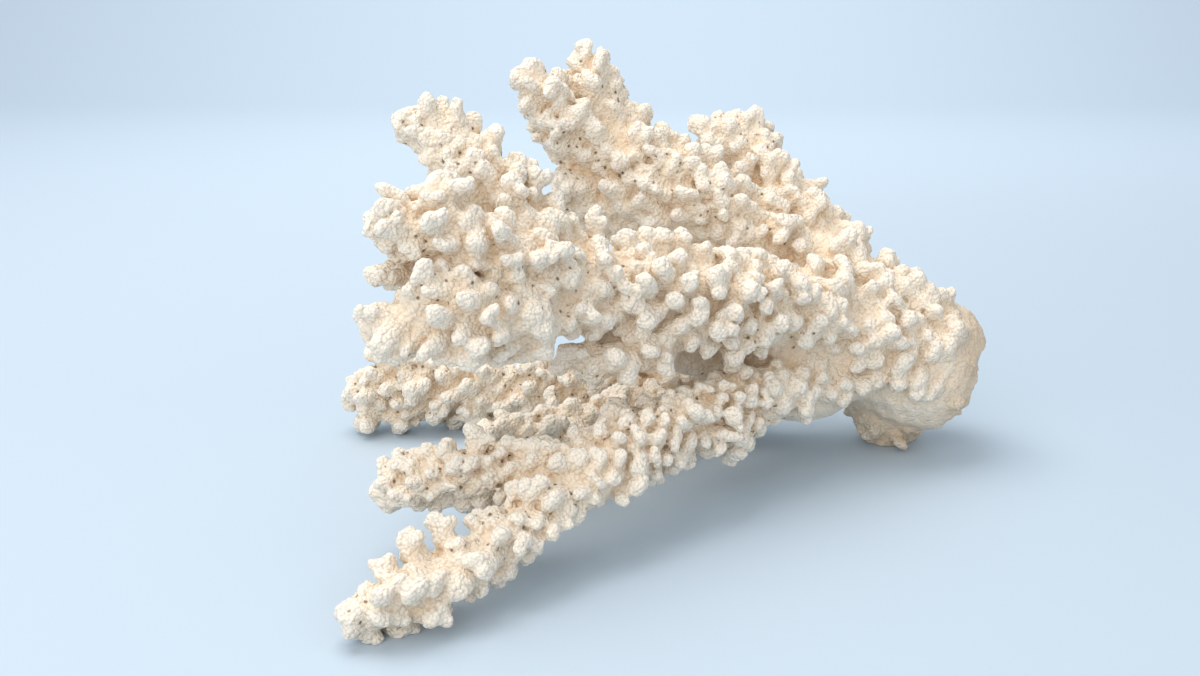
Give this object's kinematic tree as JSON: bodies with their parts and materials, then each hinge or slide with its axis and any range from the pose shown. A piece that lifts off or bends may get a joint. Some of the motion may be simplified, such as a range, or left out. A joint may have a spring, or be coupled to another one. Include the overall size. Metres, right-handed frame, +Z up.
{
  "type": "branching coral",
  "caption": "Dried white branching coral, broken off at its base and lying on its side, with knobbly forked branches fanning out from a thick base.",
  "frame": {"origin": "centre of the footprint of the lying coral, on the surface it rests on", "axes": "+Z up from the surface, +X towards the broken base, -X along the branches, -Y towards the viewer"},
  "size_m": [0.2049, 0.1731, 0.127],
  "materials": {
    "coral": "dry chalky limestone skeleton, matte, cream white with tan hollows"
  },
  "bodies": {
    "root": {"crest_branch": "coral", "top_branch": "coral", "top_branch_tip": "coral", "top_branch_horn": "coral", "middle_branch": "coral", "middle_fork_head": "coral", "middle_fork_arm": "coral", "middle_fork_hand": "coral", "front_branch": "coral", "front_fork_upper": "coral", "front_fork_lower": "coral", "back_branch": "coral", "back_branch_spur": "coral", "base": "coral"}
  },
  "joints": []
}
